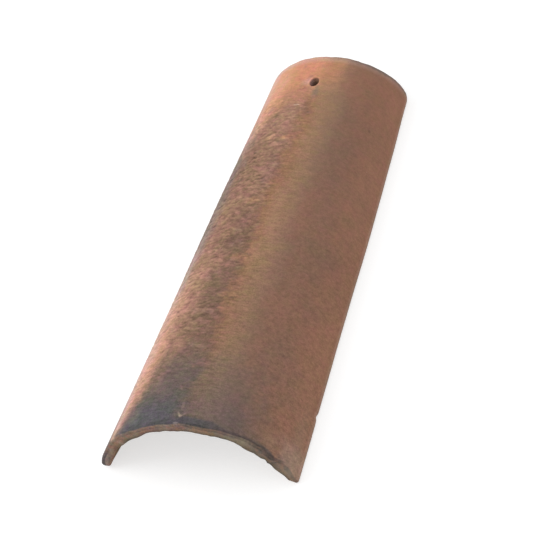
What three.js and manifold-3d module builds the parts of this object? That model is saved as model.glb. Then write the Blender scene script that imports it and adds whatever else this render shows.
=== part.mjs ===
// Tapered barrel roof tile of fired clay: one open half-barrel with a nail hole near its narrow end.
// Millimetres, +Z up. The tile lies crown up on its two long feet. X runs across it, and Y runs along it,
// from the wide end at -Y to the narrow end at +Y. The origin is the middle of its footprint.
import * as THREE from "three";
import { mergeVertices } from "three/addons/utils/BufferGeometryUtils.js";
import Module from "manifold-3d";

// Outside sizes
const TILE_LENGTH = 450;
const WIDE_END_WIDTH = 178;
const WIDE_END_HEIGHT = 68;
const NARROW_END_WIDTH = 137;
const NARROW_END_HEIGHT = 52;

// Clay wall and the shape of its arch
const WALL = 11.2;
const CROWN_FLATNESS_RATIO = 1.06; // crown radius over that of one plain arc from foot to foot
const CROWN_HALF_ANGLE = 34; // degrees from the top to where each haunch arc begins

// Edges, softened in the wet clay
const FOOT_ROUND = 3;
const END_ROUND = 2.4;
const END_ROUND_LIMIT = 0.9; // the most that the end's rounding may be, as a share of the foot's
const WIDE_CORNER_ROUND = 3;
const NARROW_CORNER_ROUND = 7.5;

// Nail hole, pushed through the crown from above
const NAIL_HOLE_DIAMETER = 7.5;
const NAIL_HOLE_FROM_END = 35;
const NAIL_HOLE_OFF_CENTRE = -3;
const NAIL_HOLE_MOUTH_DIAMETER = 10;
const NAIL_HOLE_MOUTH_DEPTH = 3;

// How finely the surfaces are divided
const CROWN_STEPS = 14;
const HAUNCH_STEPS = 9;
const ROUND_STEPS = 4;
const CORNER_STEPS = 6;
const LENGTH_STEPS = 14;
const HOLE_SIDES = 24;
const WELD_DISTANCE = 1e-4; // vertices nearer than this are one

const CLAY_COLOUR = 0xa9745a;
const CLAY_ROUGHNESS = 0.92;

const wasm = await Module();
wasm.setup();

const lerp = THREE.MathUtils.lerp;
const crownHalfAngle = THREE.MathUtils.degToRad(CROWN_HALF_ANGLE);

// Points on an arc in the section plane. Angles are measured from straight up, towards +X.
function arcPoints(centre, radius, from, to, steps) {
  const points = [];
  for (let i = 0; i <= steps; i++) {
    const angle = lerp(from, to, i / steps);
    points.push(new THREE.Vector2(centre.x + radius * Math.sin(angle), centre.y + radius * Math.cos(angle)));
  }
  return points;
}

// Direction from one point to another, as an angle from straight up towards +X.
function bearing(from, to) {
  return Math.atan2(to.x - from.x, to.y - from.y);
}

// The arcs of the arch at one place along the tile, for its right half. The outer line is a flat crown arc
// that runs smoothly into a tighter haunch arc, which runs smoothly into the foot's rounding. The inner line
// is concentric with the outer one, a wall's thickness inside it. `lift` raises the foot up both lines.
function archAt(share, lift) {
  const halfWidth = lerp(WIDE_END_WIDTH, NARROW_END_WIDTH, share) / 2;
  const height = lerp(WIDE_END_HEIGHT, NARROW_END_HEIGHT, share);
  const foot = new THREE.Vector2(halfWidth - FOOT_ROUND, FOOT_ROUND);

  // One plain arc over the foot's rounding has its centre this far up, and the crown arc is flatter than it.
  const rise = height - FOOT_ROUND;
  const plainCentreHeight = (rise ** 2 - foot.lengthSq()) / (2 * (rise - FOOT_ROUND));
  const crownRadius = CROWN_FLATNESS_RATIO * (height - plainCentreHeight);
  const crown = new THREE.Vector2(0, height - crownRadius);

  // The haunch circle touches the crown circle at the crown's half angle, and touches the foot's rounding.
  const along = new THREE.Vector2(Math.sin(crownHalfAngle), Math.cos(crownHalfAngle));
  const footToCrown = crown.clone().sub(foot);
  const reach = crownRadius - FOOT_ROUND;
  const shift = (reach ** 2 - footToCrown.lengthSq()) / (2 * (footToCrown.dot(along) + reach));
  const haunch = crown.clone().addScaledVector(along, shift);
  const haunchRadius = crownRadius - shift;

  // Each of the foot's two roundings touches its haunch arc, and the floor where nothing lifts it.
  const footHeight = FOOT_ROUND + lift;
  const footAt = (away) => {
    const run = Math.sqrt(away ** 2 - (haunch.y - footHeight) ** 2);
    return new THREE.Vector2(haunch.x + run, footHeight);
  };
  const footOuter = footAt(haunchRadius - FOOT_ROUND);
  const footInner = footAt(haunchRadius - WALL + FOOT_ROUND);

  return { crown, crownRadius, haunch, haunchRadius, footOuter, footInner };
}

// The closed outline of the wall at one station, drawn in by `inset` all round, with its feet up by `lift`.
function wallOutline({ y, inset, lift }) {
  const { crown, crownRadius, haunch, haunchRadius, footOuter, footInner } = archAt(y / TILE_LENGTH, lift);
  const outerTurn = bearing(haunch, footOuter);
  const innerTurn = bearing(haunch, footInner);
  const footRadius = FOOT_ROUND - inset;
  const outerHalf = [
    ...arcPoints(crown, crownRadius - inset, 0, crownHalfAngle, CROWN_STEPS),
    ...arcPoints(haunch, haunchRadius - inset, crownHalfAngle, outerTurn, HAUNCH_STEPS).slice(1),
    ...arcPoints(footOuter, footRadius, outerTurn, Math.PI, ROUND_STEPS).slice(1),
  ];
  const innerHalf = [
    ...arcPoints(footInner, footRadius, Math.PI, innerTurn + Math.PI, ROUND_STEPS),
    ...arcPoints(haunch, haunchRadius - WALL + inset, innerTurn, crownHalfAngle, HAUNCH_STEPS).slice(1),
    ...arcPoints(crown, crownRadius - WALL + inset, crownHalfAngle, 0, CROWN_STEPS).slice(1),
  ];
  const mirrored = (points) => points.map((p) => new THREE.Vector2(-p.x, p.y)).reverse();
  return [...outerHalf, ...innerHalf, ...mirrored(innerHalf).slice(1), ...mirrored(outerHalf).slice(0, -1)];
}

// Depths at which a quarter round of this radius is cut into even steps of its arc.
function quarterSteps(radius, steps) {
  return Array.from({ length: steps + 1 }, (_, i) => radius * (1 - Math.cos((Math.PI / 2) * (i / steps))));
}

// How far a quarter round still is from its full height, this deep in from the end that it curls round.
function quarterDrop(radius, depth) {
  return radius - Math.sqrt(radius ** 2 - Math.max(radius - depth, 0) ** 2);
}

// The sections over one end, from its face inwards. The end's rounding draws the outline in, and the rounding
// of both feet's corners, which may reach further in, raises the feet.
function endSections(cornerRound) {
  const endRound = Math.min(END_ROUND, END_ROUND_LIMIT * FOOT_ROUND);
  const further = quarterSteps(cornerRound, CORNER_STEPS).filter((depth) => depth > endRound);
  return [...quarterSteps(endRound, ROUND_STEPS), ...further].map((depth) => ({
    depth,
    inset: quarterDrop(endRound, depth),
    lift: quarterDrop(cornerRound, depth),
  }));
}

// Where each section stands: close together over both ends, and in even steps between them.
function sectionStations() {
  const wide = endSections(WIDE_CORNER_ROUND).map((section) => ({ ...section, y: section.depth }));
  const narrow = endSections(NARROW_CORNER_ROUND).map((section) => ({
    ...section,
    y: TILE_LENGTH - section.depth,
  }));
  const middle = [];
  for (let i = 1; i < LENGTH_STEPS; i++) {
    middle.push({ y: lerp(wide.at(-1).y, narrow.at(-1).y, i / LENGTH_STEPS), inset: 0, lift: 0 });
  }
  return [...wide, ...middle, ...narrow.reverse()];
}

// Skins the outlines into one closed surface, with a flat face at each end.
function loft(stations, outlineAt) {
  const outlines = stations.map(outlineAt);
  const count = outlines[0].length;
  const positions = outlines.flatMap((outline, row) =>
    outline.flatMap((point) => [point.x, stations[row].y - TILE_LENGTH / 2, point.y])
  );
  const index = [];
  for (let row = 0; row < outlines.length - 1; row++) {
    for (let i = 0; i < count; i++) {
      const next = (i + 1) % count;
      const [a, b] = [row * count + i, row * count + next];
      const [c, d] = [a + count, b + count];
      index.push(a, b, c, b, d, c);
    }
  }
  const last = (outlines.length - 1) * count;
  for (const [a, b, c] of THREE.ShapeUtils.triangulateShape(outlines[0], [])) {
    index.push(a, b, c);
  }
  for (const [a, b, c] of THREE.ShapeUtils.triangulateShape(outlines.at(-1), [])) {
    index.push(last + a, last + c, last + b);
  }
  const geometry = new THREE.BufferGeometry();
  geometry.setAttribute("position", new THREE.Float32BufferAttribute(positions, 3));
  geometry.setIndex(index);
  return geometry;
}

function solidFrom(geometry) {
  const bare = geometry.clone();
  bare.deleteAttribute("normal");
  bare.deleteAttribute("uv");
  const merged = mergeVertices(bare, WELD_DISTANCE);
  return new wasm.Manifold(
    new wasm.Mesh({
      numProp: 3,
      vertProperties: merged.attributes.position.array,
      triVerts: new Uint32Array(merged.index.array),
    })
  );
}

function geometryFrom(solid) {
  const mesh = solid.getMesh();
  const geometry = new THREE.BufferGeometry();
  geometry.setAttribute("position", new THREE.BufferAttribute(mesh.vertProperties, 3));
  geometry.setIndex(new THREE.BufferAttribute(mesh.triVerts, 1));
  geometry.computeVertexNormals();
  return geometry;
}

// The pin that makes the nail hole: a straight shank with a wider mouth at the tile's outer face.
function nailHolePin() {
  const share = 1 - NAIL_HOLE_FROM_END / TILE_LENGTH;
  const crownHeight = lerp(WIDE_END_HEIGHT, NARROW_END_HEIGHT, share);
  const shankRadius = NAIL_HOLE_DIAMETER / 2;
  const mouthRadius = Math.max(NAIL_HOLE_MOUTH_DIAMETER / 2, shankRadius);
  const bottom = -2 * WALL;
  const profile = [
    new THREE.Vector2(0, bottom),
    new THREE.Vector2(shankRadius, bottom),
    new THREE.Vector2(shankRadius, -NAIL_HOLE_MOUTH_DEPTH),
    new THREE.Vector2(mouthRadius, 0),
    new THREE.Vector2(mouthRadius, WALL),
    new THREE.Vector2(0, WALL),
  ];
  const pin = new THREE.LatheGeometry(profile, HOLE_SIDES);
  pin.rotateX(Math.PI / 2);
  pin.translate(NAIL_HOLE_OFF_CENTRE, TILE_LENGTH / 2 - NAIL_HOLE_FROM_END, crownHeight);
  return pin;
}

const barrel = solidFrom(loft(sectionStations(), wallOutline));
const clay = new THREE.MeshStandardMaterial({ color: CLAY_COLOUR, roughness: CLAY_ROUGHNESS, metalness: 0 });
const tile = new THREE.Mesh(geometryFrom(barrel.subtract(solidFrom(nailHolePin()))), clay);
tile.name = "barrel_tile";

const roofTile = new THREE.Group();
roofTile.add(tile);

export default roofTile;
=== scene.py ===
"""The fired-clay surface of a tapered barrel roof tile, made over the tile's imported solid.

It is laid out as a Blender add-on and is run as a script. Lengths are in metres, +Z is up, +Y runs along
the tile from its wide end to its narrow end, and the tile lies crown up on its two long feet.
"""

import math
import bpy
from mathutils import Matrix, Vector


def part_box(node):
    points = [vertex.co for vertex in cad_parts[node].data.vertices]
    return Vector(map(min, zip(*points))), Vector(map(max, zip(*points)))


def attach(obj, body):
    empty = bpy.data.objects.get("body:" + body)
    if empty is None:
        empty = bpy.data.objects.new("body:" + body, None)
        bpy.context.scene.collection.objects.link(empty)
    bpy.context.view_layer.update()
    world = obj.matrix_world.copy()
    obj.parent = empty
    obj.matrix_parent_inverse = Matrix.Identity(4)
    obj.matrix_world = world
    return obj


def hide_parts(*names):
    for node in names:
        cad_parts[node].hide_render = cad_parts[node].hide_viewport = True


bl_info = {
    "name": "Barrel Roof Tile",
    "version": (1, 0, 0),
    "blender": (4, 5, 0),
    "location": "3D View > Sidebar > Roof Tile",
    "description": "Makes a smoke-flashed barrel roof tile of fired clay, and a plain stage to show it on",
    "category": "Add Mesh",
}

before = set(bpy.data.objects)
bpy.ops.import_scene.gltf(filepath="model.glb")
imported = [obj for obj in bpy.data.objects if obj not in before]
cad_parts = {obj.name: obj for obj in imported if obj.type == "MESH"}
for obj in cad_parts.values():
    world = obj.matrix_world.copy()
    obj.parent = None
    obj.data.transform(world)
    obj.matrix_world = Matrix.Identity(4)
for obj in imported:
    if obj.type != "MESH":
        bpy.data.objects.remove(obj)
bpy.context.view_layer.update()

import bpy
import numpy as np
from bpy.props import FloatProperty, FloatVectorProperty, IntProperty, PointerProperty
from mathutils import Matrix, Vector

TILE_NODE = "barrel_tile"
MM = 0.001
END_SLICE = 3 * MM  # how much of the solid is measured at each end


# ------------------------------------------------------------------------------
# Sizes and colours that a user would change
# ------------------------------------------------------------------------------

def solid_end_size(end):
    """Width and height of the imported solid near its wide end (-1) or its narrow one (1)."""
    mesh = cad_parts[TILE_NODE].data
    places = np.empty(len(mesh.vertices) * 3, np.float32)
    mesh.vertices.foreach_get("co", places)
    places = places.reshape(-1, 3)
    last = places[places[:, 1] * end > np.abs(places[:, 1]).max() - END_SLICE]
    return float(np.ptp(last[:, 0])), float(last[:, 2].max())


TILE_LOW, TILE_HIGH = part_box(TILE_NODE)
WIDE_WIDTH, WIDE_HEIGHT = solid_end_size(-1)
NARROW_WIDTH, NARROW_HEIGHT = solid_end_size(1)


def length(name, description, default):
    return FloatProperty(name=name, description=description, default=default, unit="LENGTH", precision=4)


def angle(name, description, degrees):
    return FloatProperty(name=name, description=description, default=math.radians(degrees), subtype="ANGLE")


def factor(name, description, default):
    return FloatProperty(
        name=name, description=description, default=default, subtype="FACTOR", min=0, max=1)


def colour(name, description, default):
    return FloatVectorProperty(
        name=name, description=description, default=default, subtype="COLOR", min=0, max=1)


class TileShape(bpy.types.PropertyGroup):
    """The tile's own sizes."""

    tile_length: length("Length", "From the wide end to the narrow one", TILE_HIGH.y - TILE_LOW.y)
    wide_width: length("Wide end width", "Outside width over the feet", WIDE_WIDTH)
    wide_height: length("Wide end height", "From the floor to the top of the crown", WIDE_HEIGHT)
    narrow_width: length("Narrow end width", "Outside width over the feet", NARROW_WIDTH)
    narrow_height: length("Narrow end height", "From the floor to the top of the crown", NARROW_HEIGHT)
    wall: length("Wall", "Thickness of the clay", 11.2 * MM)
    crown_flatness: FloatProperty(
        name="Crown flatness", description="Crown radius over that of one plain arc", default=1.06)
    crown_half_angle: angle("Crown half angle", "From the top to where each haunch arc begins", 34)
    foot_round: length("Foot rounding", "Radius along the two long feet", 3 * MM)
    wide_round: length("Wide end rounding", "Radius round the edges of the wide end's face", 2.4 * MM)
    narrow_round: length("Narrow end rounding", "Radius round the edges of the narrow end's face", 1.3 * MM)
    wide_corner: length("Wide corner rounding", "Radius of the feet's corners at that end", 3 * MM)
    narrow_corner: length("Narrow corner rounding", "Radius of the feet's corners at that end", 7.5 * MM)
    hole_width: length("Nail hole", "Diameter of the nail hole's shank", 7.5 * MM)
    mouth_width: length("Nail hole mouth", "Diameter of the hole where it opens on the crown", 10 * MM)
    hole_from_end: length("Nail hole from end", "From the hole's centre to the narrow end", 35 * MM)
    hole_off_centre: length("Nail hole off centre", "From the crown line to the hole's centre", -3 * MM)


class ClayRelief(bpy.types.PropertyGroup):
    """How far the handmade surface strays from the plain form."""

    sway: length("Sway", "Height of the long waves in the whole wall", 0.4 * MM)
    dents: length("Dents", "Height of the palm-sized bumps", 0.16 * MM)
    wrinkles: length("Wrinkles", "Height of the drag wrinkles on the left haunch", 0.40 * MM)
    grain: length("Grain", "Height of the sandy grain", 0.06 * MM)
    pits: length("Pits", "Depth of the small pits", 0.45 * MM)
    end_roughness: length("End roughness", "Height of the bumps on the two end faces", 0.45 * MM)
    ragged: length("Ragged edge", "Height of the burrs along the wide end's inner edge", 0.9 * MM)
    burr: length("Burr", "Height of the lip round the nail hole", 0.4 * MM)
    seed: IntProperty(name="Seed", description="Picks another set of bumps", default=4)


class ClayFinish(bpy.types.PropertyGroup):
    """Colours of the fired clay, from bare to smoked."""

    body: colour("Body", "Red-brown of the plain clay", (0.275, 0.155, 0.105))
    rust: colour("Rust", "Redder patches of the plain clay", (0.295, 0.150, 0.100))
    haunch: colour("Haunch", "Clay low on the right haunch", (0.350, 0.182, 0.118))
    ochre: colour("Ochre", "Band along the crown", (0.326, 0.179, 0.101))
    tan: colour("Tan", "Wrinkled clay left of the crown", (0.305, 0.178, 0.122))
    orange: colour("Orange", "Narrow end, which the flames kept clean", (0.590, 0.275, 0.162))
    peach: colour("Peach", "Bare clay on the left haunch", (0.580, 0.322, 0.232))
    pale: colour("Pale", "Lowest strip of the left haunch", (0.660, 0.484, 0.436))
    salmon: colour("Salmon", "Left side of the narrow end", (0.735, 0.392, 0.268))
    blush: colour("Blush", "Pink mottling on the left side", (0.480, 0.235, 0.175))
    ash: colour("Ash", "Grey patch on the left haunch", (0.236, 0.182, 0.156))
    plum: colour("Plum", "Dark seam beside the crown", (0.188, 0.117, 0.082))
    smoke: colour("Smoke", "Grey where smoke lay on the clay", (0.112, 0.103, 0.102))
    slate: colour("Slate", "Bluer smoke near the wide rim", (0.105, 0.104, 0.128))
    moss: colour("Moss", "Lower edge of the wide end's face", (0.170, 0.135, 0.080))
    bloom: colour("Bloom", "Pale dust on wrinkles and edges", (0.62, 0.52, 0.48))
    soot: colour("Soot", "Dark line over the rim", (0.088, 0.083, 0.090))
    core: colour("Core", "Brown of the end faces", (0.258, 0.208, 0.166))
    olive: colour("Olive", "Greenish patch on the wide end's face", (0.310, 0.275, 0.195))
    lining: colour("Lining", "Inside of the barrel, near the wide end", (0.450, 0.310, 0.210))
    # Shadow is painted shade, laid down the nail hole where its walls lie in shade; one of the marks also
    # uses it for a small dark dot.
    shadow: colour("Shadow", "Sooty inside of the nail hole", (0.165, 0.092, 0.066))
    fleck: colour("Fleck", "Pale chips and lime flecks", (0.560, 0.420, 0.340))
    roughness: factor("Roughness", "Roughness of the dry clay", 0.86)


class StageLook(bpy.types.PropertyGroup):
    """Floor, lights and camera."""

    floor: colour("Floor", "Colour of the floor and of the world", (1.0, 1.0, 1.0))
    floor_glow: factor("Floor glow", "Light that the camera sees the floor give", 0.62)
    ambient: FloatProperty(name="Ambient", description="Strength of the even light", default=0.84)
    key_power: FloatProperty(name="Key light", description="Power of the lamp", default=12, unit="POWER")
    azimuth: angle("Azimuth", "Camera's turn round the tile", 31.08)
    elevation: angle("Elevation", "Camera's height over the floor", 44.15)
    roll: angle("Roll", "Camera's turn about its own axis", -20.38)
    distance: length("Distance", "From the camera to the point it looks at", 2.4236)
    aim: FloatVectorProperty(
        name="Aim", description="Point on the floor that the camera looks at", subtype="TRANSLATION",
        default=(-0.0064, 0.0063, 0.0))
    lens: FloatProperty(name="Lens", description="Focal length in millimetres", default=182.6)


# ------------------------------------------------------------------------------
# Smooth random fields
# ------------------------------------------------------------------------------

LATTICE = 64  # corners along each axis before the random directions repeat
NOISE_GAIN = 1.4  # brings gradient noise to about -1 to 1


def ease(t):
    """Runs from 0 to 1 with no slope at either end: 6t^5 - 15t^4 + 10t^3, held flat outside that range."""
    t = np.clip(t, 0, 1)
    return t * t * t * (t * (6 * t - 15) + 10)


def mix(a, b, t):
    return a + (b - a) * t


def fade(distance, reach):
    """1 at no distance, and down to 0 at the reach along the ease curve."""
    return 1 - ease(distance / reach)


def bell(distance, width):
    """1 at no distance, falling off smoothly: exp(-(distance / width)^2)."""
    return np.exp(-((distance / width) ** 2))


def through(stops, place):
    """A smooth line through (place, height) stops, with the ease curve between neighbours."""
    places, heights = np.array(stops).T
    after = np.clip(np.searchsorted(places, place), 1, len(places) - 1)
    run = (place - places[after - 1]) / (places[after] - places[after - 1])
    return mix(heights[after - 1], heights[after], ease(run))


def rolling(points, cell, seed):
    """Gradient noise in space, from about -1 to 1. Each corner of a lattice of cells has a random
    direction, a point's value at a corner is its distance from it along that direction, and the ease curve
    blends the eight corners' values over the cell."""
    turns = np.random.default_rng(seed).normal(size=(LATTICE, LATTICE, LATTICE, 3))
    turns /= np.linalg.norm(turns, axis=-1, keepdims=True)
    at = points / np.array(cell)
    corner = np.floor(at).astype(int)
    inside = at - corner
    blend = ease(inside)

    def value(*step):
        i, j, k = np.moveaxis((corner + step) % LATTICE, -1, 0)
        return (turns[i, j, k] * (inside - step)).sum(-1)

    def along_z(i, j):
        return mix(value(i, j, 0), value(i, j, 1), blend[..., 2])

    low = mix(along_z(0, 0), along_z(0, 1), blend[..., 1])
    high = mix(along_z(1, 0), along_z(1, 1), blend[..., 1])
    return NOISE_GAIN * mix(low, high, blend[..., 0])


# ------------------------------------------------------------------------------
# The form of the tile
# ------------------------------------------------------------------------------

ROWS_ROUND = 5  # rows over each end's rounding
ROWS_ALONG = 424
OUTER_COLUMNS = 128  # from foot to foot over the outer face
INNER_COLUMNS = OUTER_COLUMNS // 2
FILLET_STEPS = 5  # over each rounding of a foot
FLAT_STEPS = 5  # over the flat between them, and down each end face
HOLE_RING = 4  # the nail hole opens this many rows and columns from its middle
HOLE_BLEND = 13  # and the grid is square again this far out
MOUTH_DEPTH = 0.28  # the hole's mouth has narrowed to the shank this far down, as a share of the wall
HOLE_DEPTHS = (0.10, 0.19, MOUTH_DEPTH, 0.5, 0.72, 0.9)


class Section:
    """The arcs of the wall's section at each place along the tile, as arrays of the form of `along`.

    The outer line is a flat crown arc, a tighter haunch arc and the foot's rounding, each of which runs
    smoothly into the next. The inner line is concentric with it, a wall's thickness inside. `lift` raises
    the feet, which rounds the corners, and `inset` draws the outline in, which rounds the ends."""

    def __init__(self, shape, along, lift=0.0, inset=0.0):
        share = along / shape.tile_length + 0.5
        height = mix(shape.wide_height, shape.narrow_height, share)
        r = shape.foot_round
        foot_x = mix(shape.wide_width, shape.narrow_width, share) / 2 - r
        self.wall, self.inset, self.round = shape.wall, inset, r
        self.half_angle = shape.crown_half_angle
        lean, level = math.sin(self.half_angle), math.cos(self.half_angle)

        # One plain arc over the foot's rounding has its centre this far up. The crown arc is flatter.
        plain_centre = ((height - r) ** 2 - foot_x**2 - r**2) / (2 * (height - 2 * r))
        self.crown_radius = shape.crown_flatness * (height - plain_centre)
        self.crown_z = height - self.crown_radius

        # The haunch circle touches the crown circle at the crown's half angle, and the foot's rounding.
        reach, drop = self.crown_radius - r, self.crown_z - r
        shift = (reach**2 - foot_x**2 - drop**2) / (2 * (drop * level - foot_x * lean + reach))
        self.haunch_x, self.haunch_z = shift * lean, self.crown_z + shift * level
        self.haunch_radius = self.crown_radius - shift

        # Both roundings of the foot stand on the floor, or on the lift, and touch the haunch arcs.
        self.foot_z = r + lift
        self.outer_x = self.foot_centre(self.haunch_radius - r)
        self.inner_x = self.foot_centre(self.haunch_radius - self.wall + r)

    def foot_centre(self, away):
        return self.haunch_x + np.sqrt(away**2 - (self.foot_z - self.haunch_z) ** 2)

    def line(self, outer):
        """Radii of the crown and haunch arcs of the outer or inner line, the angle at which the haunch arc
        meets the foot, and the length of the line from the crown to there."""
        depth = self.inset if outer else self.wall - self.inset
        crown, haunch = self.crown_radius - depth, self.haunch_radius - depth
        foot_x = self.outer_x if outer else self.inner_x
        end = np.arctan2(foot_x - self.haunch_x, self.foot_z - self.haunch_z)
        return crown, haunch, end, crown * self.half_angle + haunch * (end - self.half_angle)

    def face(self, outer, share):
        """Place (x, z) and outward direction (x, z) on the outer or inner line. The share runs from -1 at
        the left foot over 0 at the crown to 1 at the right foot, in even steps of length."""
        crown, haunch, _, total = self.line(outer)
        run = np.abs(share) * total
        on_crown = run <= crown * self.half_angle
        turn = np.where(on_crown, run / crown, self.half_angle + (run - crown * self.half_angle) / haunch)
        side = np.where(share < 0, -1.0, 1.0)
        x = np.where(on_crown, crown * np.sin(turn), self.haunch_x + haunch * np.sin(turn))
        z = np.where(on_crown, self.crown_z + crown * np.cos(turn), self.haunch_z + haunch * np.cos(turn))
        out = 1 if outer else -1
        return side * x, z, out * side * np.sin(turn), out * np.cos(turn)

    def share_at(self, outer, x):
        """The share at which a line is x from the middle, where it is still on the crown arc."""
        crown, _, _, total = self.line(outer)
        return crown * np.arcsin(np.clip(x / crown, -1, 1)) / total

    def right_foot(self):
        """Place and outward direction over the right foot: a rounding, a flat and a rounding, from the
        outer line's end to the inner line's."""
        arc = np.arange(1, FILLET_STEPS + 1) / FILLET_STEPS
        flat = np.arange(1, FLAT_STEPS) / FLAT_STEPS
        outer_end, inner_end = self.line(True)[2], self.line(False)[2]
        turn = np.hstack([
            mix(outer_end, np.pi, arc),
            np.full_like(outer_end * flat, np.pi),
            mix(np.pi, inner_end + np.pi, arc - 1 / FILLET_STEPS),
        ])
        centre = np.hstack([
            np.repeat(self.outer_x, FILLET_STEPS, axis=1),
            mix(self.outer_x, self.inner_x, flat),
            np.repeat(self.inner_x, FILLET_STEPS, axis=1),
        ])
        radius, out_x, out_z = self.round - self.inset, np.sin(turn), np.cos(turn)
        return centre + radius * out_x, self.foot_z + radius * out_z, out_x, out_z


def rounded(near, radius):
    """How far a quarter round of this radius has dropped, this near to the end that it curls round."""
    return radius - np.sqrt(radius**2 - np.clip(radius - near, 0, None) ** 2)


def row_places(shape):
    """How far each row is from the wide end: close rows over both roundings, and even rows between them."""
    curl = 1 - np.cos(np.linspace(0, np.pi / 2, ROWS_ROUND + 1)[:-1])
    even = np.linspace(shape.wide_round, shape.tile_length - shape.narrow_round, ROWS_ALONG)
    narrow = shape.tile_length - shape.narrow_round * curl[::-1]
    return np.concatenate([shape.wide_round * curl, even, narrow])[:, None]


def knots(x, y, z, out, wall, share, depth):
    """Nine numbers for each vertex: its place, which way is out of the clay (x, z), which way the outer
    face looks there (x, z), its share across the tile, and its depth in the wall, 0 outside and 1
    inside."""
    return np.stack(np.broadcast_arrays(x, y, z, *out, *wall, share, depth), axis=-1)


def hole_centre(shape):
    return shape.hole_off_centre, shape.tile_length / 2 - shape.hole_from_end


def bent_round_hole(shape, along, share, outer, radius):
    """Bends a face's square grid so that its vertices run in rings round the nail hole. A ring is the
    vertices as many rows or columns from the middle one. The ring at the hole's edge is a circle of this
    radius, and each further one is nearer to its own square. Returns the grid and its middle vertex."""
    hole_x, hole_y = hole_centre(shape)
    x = Section(shape, along).face(outer, share)[0]
    row = int(np.abs(along[:, 0] - hole_y).argmin())
    column = int(np.abs(x[row] - hole_x).argmin())
    up = np.arange(along.shape[0])[:, None] - row
    right = np.arange(share.shape[1])[None, :] - column
    ring = np.maximum(np.abs(up), np.abs(right))
    turn = np.arctan2(up, right)

    step = shape.tile_length / ROWS_ALONG
    growth = (HOLE_BLEND * step - radius) / (HOLE_BLEND - HOLE_RING)
    away = radius + (ring - HOLE_RING) * growth
    pull = 1 - ease((ring - HOLE_RING) / (HOLE_BLEND - HOLE_RING))
    bent_x = mix(x, hole_x + away * np.cos(turn), pull)
    bent_along = mix(along, hole_y + away * np.sin(turn), pull)
    bent_share = np.where(pull > 0, Section(shape, bent_along).share_at(outer, bent_x), share)
    return bent_along, bent_share, (row, column)


def hole_ring(numbers, middle):
    """Vertex numbers round the nail hole's edge, anticlockwise as seen from above."""
    side = np.arange(-HOLE_RING, HOLE_RING)
    edge = np.full_like(side, HOLE_RING)
    up = np.concatenate([-edge, side, edge, -side])
    right = np.concatenate([side, edge, -side, -edge])
    return numbers[middle[0] + up, middle[1] + right]


def inside_hole(numbers, middle):
    """Which cells of a grid of vertex numbers lie inside the nail hole's edge."""
    row, column = np.indices((numbers.shape[0] - 1, numbers.shape[1] - 1))
    across = np.maximum(np.abs(row + 0.5 - middle[0]), np.abs(column + 0.5 - middle[1]))
    return across < HOLE_RING


def triangles(numbers, keep=True):
    """Two triangles for each kept cell of a grid of vertex numbers, without those shrunk to a line."""
    a, b = numbers[:-1, :-1], numbers[:-1, 1:]
    c, d = numbers[1:, 1:], numbers[1:, :-1]
    pairs = np.stack([a, b, c, a, c, d], axis=-1)[np.broadcast_to(keep, a.shape)].reshape(-1, 3)
    a, b, c = pairs.T
    return pairs[(a != b) & (b != c) & (a != c)]


def end_cap(rings, sides, row):
    """Rows of vertices that close one end, and the numbers of the outer line and the inner line that they
    lie between. The inner line has half as many vertices, so each row runs to the middle of the nearest
    two. The sides are the numbers of the outer face, right foot, inner face and left foot."""
    outer, right, inner, left = (numbers[row] for numbers in sides)
    columns = np.arange(OUTER_COLUMNS + 1)
    left_in, right_in = left[:FILLET_STEPS][::-1], right[-FILLET_STEPS:][::-1]
    outer_line = np.concatenate([left[-FILLET_STEPS:], outer, right[:FILLET_STEPS]])
    inner_line = np.concatenate([left_in, inner[columns // 2], right_in])
    next_line = np.concatenate([left_in, inner[(columns + 1) // 2], right_in])
    part = np.arange(1, FLAT_STEPS)[:, None, None] / FLAT_STEPS
    rows = mix(rings[outer_line], (rings[inner_line] + rings[next_line]) / 2, part)
    rows[..., 3:5] = 0
    return rows, outer_line, inner_line


def hole_shaft(shape, rings, mouth, exit_ring):
    """Rings of vertices down the nail hole, whose mouth narrows to the shank."""
    hole_x, hole_y = hole_centre(shape)
    part = np.array(HOLE_DEPTHS)[:, None, None]
    shaft = mix(rings[mouth], rings[exit_ring], part)
    turn = np.arctan2(shaft[..., 1] - hole_y, shaft[..., 0] - hole_x)
    mouth_radius, shank_radius = shape.mouth_width / 2, shape.hole_width / 2
    radius = through([(0, mouth_radius), (MOUTH_DEPTH, shank_radius), (1, shank_radius)], part[..., 0])
    shaft[..., 0], shaft[..., 1] = hole_x + radius * np.cos(turn), hole_y + radius * np.sin(turn)
    shaft[..., 3:5] = 0
    return shaft


def numbered(grid, first):
    """Vertex numbers for a grid of vertices, counted from the first."""
    return first + np.arange(grid.shape[0] * grid.shape[1]).reshape(grid.shape[:2])


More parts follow.
